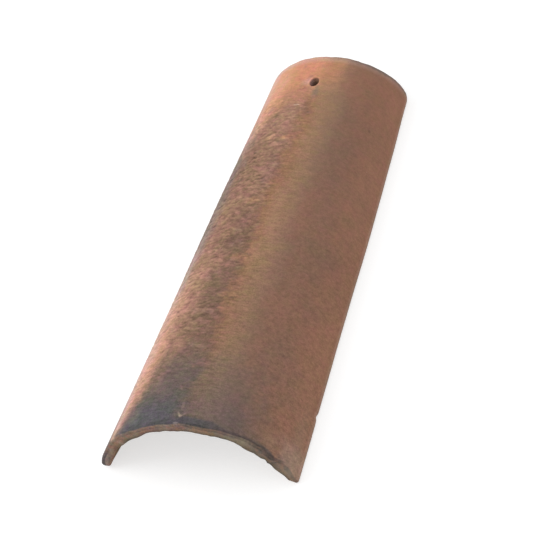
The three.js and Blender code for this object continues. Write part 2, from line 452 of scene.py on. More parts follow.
def tile_surface(shape):
    """The whole closed skin of the tile as vertices (see knots) and triangles.

    Each row is a closed ring: the outer face from left to right, the right foot, the inner face back again,
    and the left foot. Each end is closed by rows from the outer line to the inner one, and the nail hole by
    rings down from its mouth."""
    from_wide = row_places(shape)
    plain = from_wide - shape.tile_length / 2
    near = np.minimum(from_wide, shape.tile_length - from_wide)
    inset = rounded(near, np.where(plain < 0, shape.wide_round, shape.narrow_round))
    lift = rounded(near, np.where(plain < 0, shape.wide_corner, shape.narrow_corner))

    def face(outer, columns, radius):
        share = np.linspace(-1, 1, columns + 1) + 0 * plain
        along, share, middle = bent_round_hole(shape, plain + 0 * share, share, outer, radius)
        x, z, *out = Section(shape, along, lift, inset).face(outer, share)
        wall = out if outer else [-out[0], -out[1]]
        return knots(x, along, z, out, wall, share, 0 if outer else 1), middle

    outer, outer_middle = face(True, OUTER_COLUMNS, shape.mouth_width / 2)
    inner, inner_middle = face(False, INNER_COLUMNS, shape.hole_width / 2)

    x, z, *out = Section(shape, plain, lift, inset).right_foot()
    depth = np.clip((np.arange(x.shape[1]) - FILLET_STEPS + 1) / FLAT_STEPS, 0, 1)
    right = knots(x, plain, z, out, (1, 0), 1, depth)
    left = knots(-x, plain, z, (-out[0], out[1]), (-1, 0), -1, depth)[:, ::-1]
    grid = np.concatenate([outer, right, inner[:, ::-1], left], axis=1)
    rings = grid.reshape(-1, 9)

    numbers = numbered(grid, 0)
    places = np.cumsum([outer.shape[1], right.shape[1], inner.shape[1]])
    outer_numbers, right_numbers, inner_numbers, left_numbers = np.split(numbers, places, axis=1)
    inner_numbers = inner_numbers[:, ::-1]
    keep = np.ones((numbers.shape[0] - 1, numbers.shape[1]), bool)
    keep[:, :OUTER_COLUMNS] = ~inside_hole(outer_numbers, outer_middle)
    keep[:, places[1]:places[2] - 1] = ~inside_hole(inner_numbers, inner_middle)[:, ::-1]
    vertices = [rings]
    faces = [triangles(np.hstack([numbers, numbers[:, :1]]), keep)]
    count = len(rings)

    sides = (outer_numbers, right_numbers, inner_numbers, left_numbers)
    for row, facing in ((0, -1), (-1, 1)):
        rows, outer_line, inner_line = end_cap(rings, sides, row)
        row_numbers = numbered(rows, count)
        row_numbers[:, 0] = left_numbers[row, FILLET_STEPS:-FILLET_STEPS][::-1]
        row_numbers[:, -1] = right_numbers[row, FILLET_STEPS:-FILLET_STEPS]
        faces.append(triangles(np.vstack([outer_line, row_numbers, inner_line]))[:, ::facing])
        vertices.append(rows.reshape(-1, 9))
        count += row_numbers.size

    mouth, exit_ring = hole_ring(outer_numbers, outer_middle), hole_ring(inner_numbers, inner_middle)
    shaft = hole_shaft(shape, rings, mouth, exit_ring)
    wall = np.vstack([mouth, numbered(shaft, count), exit_ring])
    faces.append(triangles(np.hstack([wall, wall[:, :1]])))
    vertices.append(shaft.reshape(-1, 9))

    used, faces = np.unique(np.concatenate(faces), return_inverse=True)
    return np.concatenate(vertices)[used], faces.reshape(-1, 3)


# Where the handmade form strays, in millimetres, at shares across the tile. The rim of the wide end stands
# out past its plane, burrs stand on that rim's inner edge, and the wall there is thick or thin and leans
# out at both ends.
RIM_OUT = [
    (-1.0, 0.0), (-0.6, -0.4), (-0.47, 1.3), (-0.37, 2.7), (-0.28, 2.1), (-0.1, 1.3), (0.02, 0.0),
    (0.15, 1.3), (0.38, 0.0), (0.5, -0.7), (0.6, 0.0), (0.72, 2.4), (0.85, -0.2), (1.0, 0.0),
]
RIM_BURRS = [
    (-1.0, 0.1), (-0.45, 0.5), (-0.2, 0.2), (0.04, 1.0), (0.13, 0.2), (0.22, 1.6), (0.29, 0.2), (0.42, 0.3),
    (0.53, 2.4), (0.61, 0.4), (0.74, 1.0), (0.9, 0.2),
]
RIM_THICK = [
    (-1.0, -3.2), (-0.8, -2.4), (-0.6, -0.4), (-0.45, -1.0), (-0.3, -3.0), (-0.15, -1.9), (0.0, -0.9),
    (0.15, -1.6), (0.45, -0.9), (0.6, 1.3), (0.66, 0.0), (0.71, -2.8), (0.77, -1.2), (0.85, 2.4),
    (1.0, -0.4),
]
NARROW_OUT = [
    (-1.0, 0.0), (-0.5, 0.0), (-0.3, 0.5), (-0.1, 0.4), (0.05, -0.2), (0.25, 0.4), (0.45, 0.0), (0.7, 0.0),
    (0.85, 1.1), (0.95, 0.8), (1.0, 0.3),
]
WIDE_LEAN = [(-1.0, 0.8), (-0.75, 0.2), (-0.6, 0.0), (1.0, 0.0)]
NARROW_LEAN = [(-0.4, 0.0), (0.3, 0.6), (0.7, 0.7), (0.88, -0.3), (1.0, -1.0)]
RIM_REACH = 24 * MM  # how far from an end the rims' straying and the leaning reach
LEAN_REACH = 90 * MM

# The unrolled wall, on which the drag wrinkles lie
WIDE_HALF_ARC = 112 * MM  # from the crown to a foot over the outer face, at the wide end
NARROW_HALF_ARC = 87 * MM
SKIN_SLANT = 0.22
SKIN_BEND = 0.12
RIPPLE_LENGTH = 7.6 * MM  # from one row of ripples to the next
WARP = 1.5 * MM  # how far the wrinkles are led astray
MOUTH_EDGE = 0.2 * MM  # the painted shade in the nail hole begins this far inside its mouth


def skin_places(shape, share, along, depth):
    """Places on the unrolled wall: how far round it, how far along it and how deep. The drag wrinkles run
    straight across the right side and bend over to a slant on the left one, so there the second number is
    slant * (share + bend * (1 - exp(share / bend))) half widths further on."""
    left = np.minimum(share, 0)
    askew = SKIN_SLANT * (left + SKIN_BEND * (1 - np.exp(left / SKIN_BEND)))
    return np.stack([share * WIDE_HALF_ARC, along + WIDE_HALF_ARC * askew, depth * shape.wall], axis=-1)


class Handwork:
    """What hand moulding, drying and firing did at each vertex of the plain tile. Bumps are gradient noise,
    with cells of a size in millimetres along each axis and a number of their own."""

    def __init__(self, shape, relief, vertices):
        self.shape, self.relief = shape, relief
        self.place = vertices[:, :3].copy()
        self.out, self.wall = vertices[:, 3:5], vertices[:, 5:7]
        self.share, self.depth = vertices[:, 7], vertices[:, 8]
        self.from_wide = self.place[:, 1] + shape.tile_length / 2
        self.from_narrow = shape.tile_length - self.from_wide
        self.hole_x, self.hole_y = hole_centre(shape)
        self.from_hole = np.hypot(self.place[:, 0] - self.hole_x, self.place[:, 1] - self.hole_y)

    def bumps(self, cell, number, at=None):
        """Gradient noise at the vertices as they are by now, or at other places."""
        return rolling(self.place if at is None else at, np.array(cell) * MM, self.relief.seed + number)

    def wrinkles(self):
        """Drag wrinkles left of the crown. They are ridges where noise passes through 0, soft folds, and
        rows of ripples, which are a sine along the tile whose phase wanders."""
        bumps, share = self.bumps, self.share
        up = self.from_wide / self.shape.tile_length
        skin = skin_places(self.shape, share, self.from_wide, self.depth)
        bent = skin + WARP * np.stack([bumps((9, 9, 9), number, skin) for number in (1, 2, 3)], axis=-1)
        ridges = np.maximum(1 - 3.2 * np.abs(bumps((10, 4.4, 8), 4, bent)), -0.8)
        folds = bumps((8, 2.8, 7.5), 5, bent)
        phase = 0.8 * bumps((7, 11, 7), 18, bent) + 1.4 * bumps((24, 20, 24), 19, bent)
        ripples = np.sin(2 * np.pi * (bent[:, 1] / RIPPLE_LENGTH + phase))
        dragged = ease((0.08 - share) / 0.22) * ease((share + 1.05) / 0.3)
        dragged = dragged * ease((up - 0.04) / 0.16) * ease((1.0 - up) / 0.25)
        patchy = np.clip(0.8 + 0.8 * bumps((18, 26, 18), 6), 0.2, 1.5)
        return (0.24 * ridges + 0.78 * folds + 0.34 * ripples) * patchy * (0.06 + 0.94 * dragged)

    def height(self):
        """How far each spot stands out of its face: wrinkles outside, combing inside, dents, grain and
        pits, the lip round the nail hole's mouth, and the clay that the pin pushed out inside."""
        bumps, relief, inner, shape = self.bumps, self.relief, self.depth, self.shape
        outer = 1 - inner
        combing = 0.6 * bumps((7, 60, 7), 7) + 0.5 * bumps((5, 9, 5), 8)
        height = relief.wrinkles * (self.wrinkles() * outer + combing * inner)
        height += relief.dents * bumps((36, 58, 36), 9)
        height += relief.grain * bumps((2.6, 2.6, 2.6), 10)
        height -= relief.pits * ease((bumps((5, 5, 5), 11) - 0.58) / 0.4)
        lip = bell(self.from_hole - shape.mouth_width / 2 - 0.6 * MM, 1.6 * MM) * outer
        blown = bell(self.from_hole - shape.hole_width / 2, 2.2 * MM) * inner
        height += relief.burr * lip * (1 + 0.5 * bumps((6, 6, 6), 12))
        height += relief.burr * blown * 2.5 * (1 + 0.8 * bumps((4, 4, 4), 13))
        return height

    def sway(self):
        """How far the wall is out of place, in long waves, where it leans, over the swollen haunches and at
        a nick in the right foot. Where the wall is thick or thin, only its inner face is."""
        share, swell_up = self.share, self.from_wide / self.shape.tile_length - 0.6
        by_wide = fade(self.from_wide, LEAN_REACH)
        sway = self.relief.sway * self.bumps((85, 150, 85), 14)
        sway += (through(WIDE_LEAN, share) - through(RIM_THICK, share) * self.depth) * MM * by_wide
        sway += through(NARROW_LEAN, share) * MM * fade(self.from_narrow, LEAN_REACH)
        sway += 0.6 * MM * bell(swell_up, 0.16) * ease(np.abs(share) / 0.6)
        nick = bell(self.from_wide - 68 * MM, 3 * MM) * ease((share - 0.9) / 0.1)
        return sway - 1.2 * MM * nick

    def move_along(self):
        """Roughens both end faces, moves the rims along the tile, and draws out the right foot's toe."""
        place, share, relief, from_wide = self.place, self.share, self.relief, self.from_wide
        rough = self.bumps((7, 7, 7), 15) + 0.5 * self.bumps((3, 3, 3), 16)
        place[:, 1] += relief.end_roughness * rough * fade(np.minimum(from_wide, self.from_narrow), 5 * MM)
        rim = through(RIM_OUT, share) * MM * fade(from_wide, RIM_REACH)
        burrs = through(RIM_BURRS, share) * (0.6 + 0.8 * self.bumps((5, 5, 5), 17))
        ragged = relief.ragged * burrs * bell(self.depth - 1, 0.35) * fade(from_wide, 6 * MM)
        toe = 2 * MM * ease((share - 0.86) / 0.14) * (1 - self.depth) * fade(from_wide, 12 * MM)
        place[:, 1] -= rim + ragged + toe
        place[:, 1] += through(NARROW_OUT, share) * MM * fade(self.from_narrow, RIM_REACH)

    def finished(self):
        """Moves the vertices, drags the clay round the mouth narrower and longer, and lifts the left foot's
        corner. Returns the places, and how hollow each spot is, from -1 on a bump to 1 in a pit."""
        place, height, sway = self.place, self.height(), self.sway()
        for axis, part in ((0, 0), (2, 1)):
            place[:, axis] += self.out[:, part] * height + self.wall[:, part] * sway
        self.move_along()
        dragged = bell(self.from_hole, 9 * MM) * (1 - self.depth)
        place[:, 0] -= 0.12 * (place[:, 0] - self.hole_x) * dragged
        place[:, 1] += 0.30 * (place[:, 1] - self.hole_y) * dragged
        place[:, 2] += 2 * MM * ease((-self.share - 0.8) / 0.2) * fade(self.from_wide, 28 * MM)
        place[:, 2] = np.maximum(place[:, 2], 0)
        return place, np.clip(-height / self.relief.wrinkles, -1, 1)


def add_piece(name, places, faces, numbers):
    """Puts vertices and faces into a new smooth object at the origin, with named numbers per vertex."""
    mesh = bpy.data.meshes.new(name)
    mesh.vertices.add(len(places))
    mesh.vertices.foreach_set("co", places.astype(np.float32).ravel())
    mesh.loops.add(faces.size)
    mesh.loops.foreach_set("vertex_index", faces.astype(np.int32).ravel())
    mesh.polygons.add(len(faces))
    mesh.polygons.foreach_set("loop_start", np.arange(0, faces.size, faces.shape[1], dtype=np.int32))
    mesh.polygons.foreach_set("use_smooth", np.ones(len(faces), bool))
    for title, values in numbers.items():
        mesh.attributes.new(title, "FLOAT", "POINT").data.foreach_set("value", values.astype(np.float32))
    mesh.update(calc_edges=True)
    if mesh.validate():
        raise RuntimeError(f"{name}: the mesh had faults")
    piece = bpy.data.objects.new(name, mesh)
    bpy.context.scene.collection.objects.link(piece)
    return piece


# ------------------------------------------------------------------------------
# Shaders, written as sums of signals
# ------------------------------------------------------------------------------

CLOUD_STEP = (3.1, 1.7, 2.3)
CLOUD_ROUGHNESS = 0.55
CLOUD_SPREAD = 3.0  # takes noise of 0 to 1 to about -1 to 1


class Signal:
    """What comes out of a node: a number, a colour or a direction. Arithmetic adds Math nodes."""

    def __init__(self, graph, socket):
        self.graph = graph
        self.socket = socket

    def __add__(self, other):
        return self.graph.maths("ADD", self, other)

    def __sub__(self, other):
        return self.graph.maths("SUBTRACT", self, other)

    def __rsub__(self, other):
        return self.graph.maths("SUBTRACT", other, self)

    def __mul__(self, other):
        return self.graph.maths("MULTIPLY", self, other)

    def __abs__(self):
        return self.graph.maths("ABSOLUTE", self)

    __radd__ = __add__
    __rmul__ = __mul__


class Graph:
    """Adds nodes to one material or world."""

    def __init__(self, owner):
        owner.use_nodes = True
        self.tree = owner.node_tree
        self.tree.nodes.clear()

    def node(self, kind, settings, values, output=0):
        """Adds a node, makes its settings, and sets or links its sockets. Returns one of its outputs."""
        node = self.tree.nodes.new(kind)
        for name, setting in settings.items():
            setattr(node, name, setting)
        for name, value in values.items():
            if isinstance(value, Signal):
                self.tree.links.new(value.socket, node.inputs[name])
            else:
                node.inputs[name].default_value = value
        return Signal(self, node.outputs[output]) if len(node.outputs) else None

    def maths(self, operation, *values):
        return self.node("ShaderNodeMath", {"operation": operation}, dict(enumerate(values)))

    def tint(self, share, first, second):
        """Goes over from one colour to another as a share runs from 0 to 1."""
        return self.node("ShaderNodeMix", {"data_type": "RGBA"}, {0: share, 6: first, 7: second}, output=2)

    def filtered(self, colour, by):
        """Multiplies a colour by another, part by part."""
        return self.node("ShaderNodeVectorMath", {"operation": "MULTIPLY"}, {0: colour, 1: by})

    def scaled(self, colour, by):
        return self.node("ShaderNodeVectorMath", {"operation": "SCALE"}, {"Vector": colour, "Scale": by})

    def cloud(self, place, size, number, detail=2.0):
        """Cloudy noise of about -1 to 1 with blots of a size in millimetres along each axis. The number
        picks a part of the noise that no other cloud shows."""
        scale = tuple(1 / (side * MM) for side in size)
        shift = tuple(step * number for step in CLOUD_STEP)
        at = self.node(
            "ShaderNodeMapping", {"vector_type": "POINT"},
            {"Vector": place, "Scale": scale, "Location": shift})
        noise = self.node(
            "ShaderNodeTexNoise", {"noise_dimensions": "3D"},
            {"Vector": at, "Scale": 1.0, "Detail": detail, "Roughness": CLOUD_ROUGHNESS})
        return noise * CLOUD_SPREAD - CLOUD_SPREAD / 2

    def number(self, title):
        """The number that each vertex carries under a name."""
        return self.node("ShaderNodeAttribute", {"attribute_name": title}, {}, output="Fac")


def rise(value, low, high):
    """0 below low, 1 above high, and a smooth step between them."""
    return value.graph.node(
        "ShaderNodeMapRange", {"interpolation_type": "SMOOTHSTEP"},
        {"Value": value, "From Min": low, "From Max": high})


def fall(value, low, high):
    """1 below low, 0 above high, and a smooth step between them."""
    return 1 - rise(value, low, high)


def between(value, start, end):
    """1 from the end of one smooth step to the start of the next, and 0 outside both."""
    return rise(value, *start) * fall(value, *end)


def rgba(colour):
    return (*colour, 1.0)


def square(signal):
    return signal * signal


# Chips, flecks and soft blots: share across the tile, distance from the wide end, half width and half
# length in millimetres, paint and strength, and for those that aren't upright and soft their turn in
# degrees and the softness of their edge. The later ones lie over the earlier ones.
MARKS = [
    (-0.024, 10.8, 3, 0.8, "fleck", 0.4, -58, 0.6), (0.006, 10, 2.6, 0.8, "fleck", 0.34, 42, 0.6),
    (-0.01, 9.4, 1.3, 1.1, "fleck", 0.45, 0, 0.6), (-0.02, 20.5, 1.1, 4.2, "fleck", 0.18, 8, 0.9),
    (-0.025, 1.8, 2, 0.8, "bloom", 0.26, 0, 0.6), (-0.13, 385.4, 2.7, 0.9, "fleck", 0.9, 0, 0.4),
    (-0.51, 385.9, 6, 4, "salmon", 0.4, 0, 0.8), (-0.11, 342, 4, 1.8, "orange", 0.5, 0, 0.8),
    (-0.28, 344.2, 5, 2.4, "salmon", 0.55, 0, 0.8), (-0.16, 262, 5.5, 3, "orange", 0.3),
    (-0.08, 192, 6, 3, "orange", 0.3), (0.015, 402, 2.6, 6.5, "ash", 0.6),
    (-0.12, 416, 4.5, 3.5, "bloom", 0.22), (-0.13, 398, 9, 10, "orange", 0.45),
    (0.66, 374.6, 1.4, 1.7, "shadow", 0.5, 0, 0.6), (-0.7, 358, 7, 18, "ash", 0.45),
    (-0.34, 45, 7, 7, "ash", 0.35), (-0.44, 16, 5, 6, "ash", 0.4), (-0.66, 200, 5, 30, "pale", 0.4),
    (-0.4, 136, 9, 12, "peach", 0.28), (-0.645, 20, 3.5, 16, "pale", 0.4), (-0.6, 88, 8, 16, "pale", 0.4),
    (-0.52, 18, 5, 12, "smoke", 0.35), (-0.28, 90, 6, 8, "salmon", 0.22),
    (-0.4, 182, 10, 10, "peach", 0.35), (-0.24, 188, 8, 8, "salmon", 0.18),
    (-0.28, 226, 6, 7, "salmon", 0.2), (-0.12, 316, 7, 9, "plum", 0.3), (-0.44, 424, 5, 6, "salmon", 0.5),
    (-0.32, 404, 8, 8, "tan", 0.25), (-0.15, 370, 8, 16, "peach", 0.16),
    (0.04, 407, 12, 10, "olive", 0.12), (-0.44, 387, 4, 4, "ash", 0.3), (-0.56, 88, 9, 18, "orange", 0.3),
    (-0.63, 66, 4, 22, "salmon", 0.25), (-0.58, 32, 5, 16, "orange", 0.1),
    (-0.52, 316, 6, 14, "ash", 0.12), (0.06, 66, 30, 10, "smoke", 0.15), (0.02, 14, 8, 8, "smoke", 0.12),
    (0.82, 3, 6, 4, "smoke", 0.34), (-0.16, 8, 6, 5, "soot", 0.2), (-0.7, 387, 5, 16, "orange", 0.35),
    (-0.6, 91, 6, 9, "pale", 0.16), (-0.66, 14, 4, 7, "bloom", 0.08), (-0.64, 225, 3, 8, "ash", 0.22),
    (-0.12, 388, 4, 6, "peach", 0.12), (-0.2, 405, 4, 6, "plum", 0.14), (0.04, 405, 12, 9, "smoke", 0.08),
    (0.8, 300, 10, 60, "body", 0.2), (0.66, 12, 6, 8, "fleck", 0.1), (-0.44, 67, 4, 6, "smoke", 0.25),
    (-0.36, 56, 6, 14, "tan", 0.3), (-0.66, 180, 5, 20, "bloom", 0.2), (-0.62, 436, 4, 6, "bloom", 0.22),
    (0.55, 20, 8, 13, "haunch", 0.25), (-0.38, 202, 22, 10, "peach", 0.16),
    (-0.24, 112, 10, 9, "peach", 0.18), (-0.4, 166, 8, 8, "peach", 0.14),
    (-0.64, 256, 6, 9, "peach", 0.1), (-0.1, 300, 7, 18, "smoke", 0.12), (-0.1, 238, 8, 8, "smoke", 0.09),
    (-0.6, 150, 5, 12, "smoke", 0.1), (-0.64, 240, 8, 80, "slate", 0.15),
    (-0.64, 240, 8, 80, "bloom", 0.08), (0.9, 22, 7, 34, "olive", 0.22), (0.8, 14, 7, 12, "moss", 0.08),
]
BLOT_SOFTNESS = 0.9
BLOT_RAGGEDNESS = 0.45

# Where the dark line over the wide rim is narrower or wider: millimetres, and the shares of its two steps.
LINE_SHIFTS = [
    (1.8, (0.28, 0.36), (0.52, 0.78)),
    (-3.4, (-0.04, 0.04), (0.22, 0.32)),
    (3.0, (0.68, 0.74), (0.82, 0.88)),
]
GREENER = (0.95, 1.03, 0.885, 1.0)  # the two ways in which the colour wanders from spot to spot
PINKER = (1.09, 0.95, 1.07, 1.0)


class ClayGraph(Graph):
    """The nodes of the clay's material, and the signals that its zones are worked out from: each vertex's
    numbers, cloudy noise, and places across and along the tile that noise breaks up."""

    def __init__(self, material, shape, finish):
        super().__init__(material)
        self.shape, self.finish = shape, finish
        place = self.node("ShaderNodeTexCoord", {}, {}, output="Object")
        self.share, self.up, self.depth, self.hollow, self.shaft = [
            self.number(title) for title in ("share", "up", "depth", "hollow", "shaft")]
        self.from_rim = self.up * (shape.tile_length / MM)
        self.from_narrow = shape.tile_length / MM - self.from_rim
        skin = self.node("ShaderNodeCombineXYZ", {}, {
            "X": self.share * WIDE_HALF_ARC, "Y": self.number("along_drag"), "Z": self.depth * shape.wall})

        self.broad = self.cloud(place, (55, 75, 55), 1)
        self.patch = self.cloud(place, (17, 22, 17), 2, 3.0)
        self.mottle = self.cloud(skin, (12, 8, 12), 8, 3.0)
        self.streak = self.cloud(skin, (9, 2.6, 7), 3)
        self.speckle = self.cloud(place, (4, 3.2, 4), 4, 3.0)
        self.grit = self.cloud(place, (1.3, 1.3, 1.3), 5, 3.0)
        self.ripple = rise(self.cloud(skin, (5, 2.2, 5), 9, 1.0), -0.2, 0.8)
        self.drawn = self.cloud(skin, (16, 4, 12), 11)
        self.embers = self.cloud(place, (10, 15, 10), 13)
        self.chips = self.cloud(place, (5.5, 4.5, 5.5), 6, 1.0)
        self.dots = self.cloud(place, (4.5, 4.5, 4.5), 7, 1.0)
        self.wander = self.cloud(place, (18, 14, 18), 10, 3.0)
        self.wander = self.wander + 0.9 * self.cloud(place, (5, 3.6, 5), 12, 3.0)
        self.across = self.share + 0.07 * self.broad + 0.06 * self.patch + 0.05 * self.mottle
        self.along = self.up + 0.03 * self.broad + 0.025 * self.patch + 0.008 * self.speckle
        self.smoky = self.smoke()

    def smoke(self):
        """How thick the smoke lies over the wide end, less on the right of the crown than on the left of
        it, where it ends on a slant."""
        slant = self.maths("MAXIMUM", -0.40 - self.across, 0.0)
        smoky = fall(self.along + 0.85 * slant, 0.03, 0.24) * fall(self.across, 0.40, 0.64)
        return smoky * (1 - 0.36 * rise(self.across, -0.10, 0.10))

    def paint(self, name):
        return rgba(getattr(self.finish, name))


class Coat:
    """A colour of the clay, over which further colours are laid."""

    def __init__(self, clay, paint):
        self.clay = clay
        self.colour = clay.paint(paint)

    def cover(self, share, colour):
        self.colour = self.clay.tint(share, self.colour, colour)

    def lay(self, paint, share, strength=1.0):
        """Covers the coat with a paint of the finish, by a share from 0 to 1 and a strength."""
        self.cover(share * strength, self.clay.paint(paint))

    def mark(self, share, from_rim, half_width, half_length, paint, strength, turn=0, soft=BLOT_SOFTNESS):
        """Lays on a turned ellipse with a soft, ragged edge: thick where the root of the squares of both
        distances from its middle, each over its half side, is less than 1."""
        clay, length = self.clay, self.clay.shape.tile_length
        arc = mix(WIDE_HALF_ARC, NARROW_HALF_ARC, from_rim * MM / length) / MM
        level, tilt = math.cos(math.radians(turn)), math.sin(math.radians(turn))
        right, ahead = (clay.share - share) * arc, clay.from_rim - from_rim
        across = (right * level + ahead * tilt) * (1 / half_width)
        along = (ahead * level - right * tilt) * (1 / half_length)
        away = clay.maths("SQRT", square(across) + square(along)) + BLOT_RAGGEDNESS * clay.speckle
        self.lay(paint, fall(away, 1 - soft, 1 + soft), strength)


def lay_bands(clay, coat):
    """Redder patches, paler clay low on the right, an ochre band along the crown, tan clay left of it, a
    dark seam between the two, and thin veils right of the crown."""
    across, along = clay.across, clay.along
    coat.lay("rust", rise(clay.patch + clay.broad, -0.9, 0.9))
    coat.lay("haunch", rise(across, 0.55, 1.05))
    coat.lay("ochre", between(across + 0.08 * clay.mottle, (-0.10, 0.06), (0.12, 0.34)), 0.95)
    coat.lay("tan", fall(across, -0.16, -0.02))
    seam = between(across + 0.05 * clay.mottle, (-0.38, -0.20), (-0.06, 0.06)) * fall(along, 0.42, 0.62)
    coat.lay("plum", seam * rise(clay.patch + clay.mottle, -1.6, 0.2), 0.95)
    coat.lay("olive", between(across, (0.0, 0.14), (0.24, 0.40)), 0.16)
    veil = between(across, (0.16, 0.34), (0.46, 0.76)) * fall(along, 0.80, 0.96)
    coat.lay("smoke", veil, 0.10)
    coat.lay("plum", veil, 0.16)
    dusk = between(across, (-0.16, 0.04), (0.30, 0.5)) * fall(along, 0.20, 0.62)
    coat.lay("plum", dusk, 0.24)


def lay_bare_side(clay, coat):
    """The bare strip low on the left, broken by a grey patch, the clean orange end, and the left side's
    mottling."""
    across, along = clay.across, clay.along
    gap = between(along, (0.32, 0.54), (0.72, 0.84))
    bare = (1 - gap) * (1 - 0.25 * between(along, (0.18, 0.28), (0.40, 0.50)))
    coat.lay("peach", fall(across, -0.60, -0.36) * bare)
    coat.lay("ash", fall(across, -0.68, -0.42) * gap, 0.85)
    coat.lay("salmon", rise(clay.embers, -0.05, 0.7) * fall(across, -0.64, -0.42) * bare, 0.5)

    clean = rise(along - 0.12 * clay.share, 0.85, 0.97) * fall(across, 0.10, 0.34)
    coat.lay("orange", clean)
    coat.lay("salmon", clean * fall(across, -0.60, -0.20), 0.8)
    coat.lay("ochre", clean * rise(across, -0.06, 0.10), 0.5)
    coat.lay("pale", fall(across, -0.80, -0.50) * bare, 0.85)
    coat.lay("peach", fall(across, -0.94, -0.80), 0.75)

    leftish = fall(clay.share, -0.06, 0.14)
    coat.lay("blush", leftish * rise(clay.mottle, 0.15, 0.9), 0.35)
    coat.lay("ash", leftish * rise(clay.mottle, -0.15, -0.9), 0.35)


def lay_smoke(clay, coat):
    """Smoke over the wide end, a thinner fringe of it low on the left, and bluer smoke near the rim."""
    share, from_rim = clay.share, clay.from_rim
    coat.lay("smoke", clay.smoky)
    near_rim = 0.40 * fall(from_rim + 2 * clay.patch, 2.0, 12.0) + 0.28 * fall(from_rim, 5.0, 60.0)
    bare_line = between(share, (-0.71, -0.67), (-0.64, -0.60))
    by_foot = 0.25 * fall(share, -0.74, -0.66) * fall(from_rim, 5.0, 120.0)
    coat.lay("smoke", (near_rim * (1 - 0.6 * bare_line) + by_foot) * fall(share, -0.56, -0.44))
    coat.lay("slate", between(share, (-0.62, -0.48), (-0.16, 0.0)) * fall(from_rim, 8.0, 34.0), 0.5)


def lay_rims(clay, coat):
    """The dark line just above the wide rim, the pale right corner, dust and a thin dark line at the narrow
    rim, partly smoke and partly painted shade on its rounded edge, and a pale hem along the right foot."""
    share = clay.share
    reach = clay.from_rim + 0.6 * clay.patch + 0.8 * clay.speckle
    for shift, start, end in LINE_SHIFTS:
        reach = reach + shift * between(share, start, end)
    line = fall(reach, 3.5, 7.0) * between(share, (-0.56, -0.40), (0.76, 0.86))
    burnt = clay.tint(rise(share, 0.10, 0.40) * 0.30, clay.paint("soot"), clay.paint("plum"))
    coat.cover(line * 0.95, burnt)
    near_rim = fall(clay.from_rim + 4 * clay.patch, 12.0, 30.0)
    coat.lay("fleck", between(clay.across, (0.66, 0.78), (0.97, 1.1)) * near_rim, 0.32)
    dust = 0.32 + 0.16 * fall(share, -0.50, -0.30) - 0.14 * rise(share, 0.0, 0.4)
    coat.lay("bloom", dust * fall(clay.from_narrow, 2.5, 10.0))
    # Smoke and painted shade along the narrow rim's rounded edge.
    narrow_smoke_and_shade = fall(clay.from_narrow + clay.speckle, 1.8, 5.4) * rise(share, -0.1, 0.45)
    coat.lay("smoke", narrow_smoke_and_shade, 0.5)
    hem = rise(abs(share), 0.962, 1.0) * fall(clay.depth, 0.0, 0.2)
    coat.lay("fleck", hem * rise(share, 0.0, 0.1), 0.28)


def lay_inside(clay, coat):
    """The inside of the barrel: orange, redder in patches and paler near the wide end."""
    inside = Coat(clay, "orange")
    inside.lay("rust", rise(clay.broad + clay.patch, -0.8, 0.8))
    inside.lay("lining", fall(clay.along, 0.06, 0.30))
    coat.cover(rise(clay.depth, 0.0, 0.35), inside.colour)


def lay_ends(clay, coat):
    """The two end faces, brown with darker edges, and painted shade down the nail hole."""
    share, depth = clay.share, clay.depth
    face = Coat(clay, "core")
    face.lay("tan", rise(clay.patch + clay.speckle, -0.8, 0.8))
    face.lay("olive", between(share, (0.30, 0.40), (0.50, 0.56)), 0.6)
    face.lay("soot", between(share, (0.59, 0.64), (0.71, 0.77)), 0.4)
    face.lay("smoke", fall(share, -0.94, -0.74) * fall(depth, 0.20, 0.55), 0.85)
    left_foot = fall(share, -0.92, -0.72)
    face.lay("bloom", left_foot * rise(depth, 0.20, 0.45), 0.16)
    face.lay("moss", rise(depth + 0.15 * clay.speckle, 0.45, 0.85) * (1 - 0.8 * left_foot), 0.5)
    burnt = between(share, (0.28, 0.36), (0.42, 0.48)) + between(share, (0.60, 0.64), (0.72, 0.78))
    outer_edge = fall(depth + 0.10 * clay.speckle, 0.06, 0.22 + 0.16 * burnt)
    face.lay("soot", outer_edge * (0.18 + 0.16 * burnt))
    face.lay("soot", rise(depth, 0.78, 0.98) * rise(share, -0.75, -0.55), 0.35)
    coat.cover(fall(clay.from_rim, 0.5, 1.4) + fall(clay.from_narrow, 0.5, 1.4), face.colour)
    # Painted shade down the nail hole's walls.
    coat.lay("shadow", clay.shaft, 0.9)


def wrinkles_on(clay):
    """How strongly the wrinkles show: left of the crown, on the outer face, and least near both ends."""
    outer_left = fall(clay.share, -0.12, 0.24) * fall(clay.depth, 0.0, 0.2)
    along = (0.15 + 0.85 * rise(clay.up, 0.96, 0.82)) * (0.62 + 0.38 * rise(clay.up, 0.10, 0.36))
    return outer_left * along


def grain_and_painted_light(clay, wrinkled):
    """How light each spot is: speckled by grit, darker over the wide rim, and on the wrinkles painted light
    and shade, with painted highlights on the ripples and crests and painted shade in the hollows.
    """
    grit, speckle, streak = clay.grit, clay.speckle, clay.streak
    side = rise(clay.share, 0.12, 0.40)
    grain = (0.13 + 0.11 * side) * speckle + (0.26 - 0.06 * side) * grit + 0.15 * (1 - side) * streak
    light = 1 + 0.05 * clay.broad + 0.05 * clay.patch + (1.25 - 0.82 * clay.up) * grain
    # Painted light and shade on the wrinkles: lighter on the ripples and crests, darker over them as a
    # whole and in the hollows; the streaks are the clay's tone.
    light = light + wrinkled * (0.30 * clay.ripple - 0.12 + 0.04 * streak - 0.34 * clay.hollow)
    # Painted shade in every hollow; the drawn streaks are the clay's tone.
    light = light - 0.10 * clay.hollow + 0.09 * (1 - side) * clay.drawn
    light = light + 0.05 * between(clay.share, (-0.2, -0.05), (0.12, 0.3)) * (grit + streak)
    rim = fall(clay.from_rim + 0.4 * speckle, 1.4, 3.6) * fall(clay.depth, 0.0, 0.1)
    return light - 0.24 * rim * between(clay.share, (-0.06, 0.10), (0.78, 0.84))


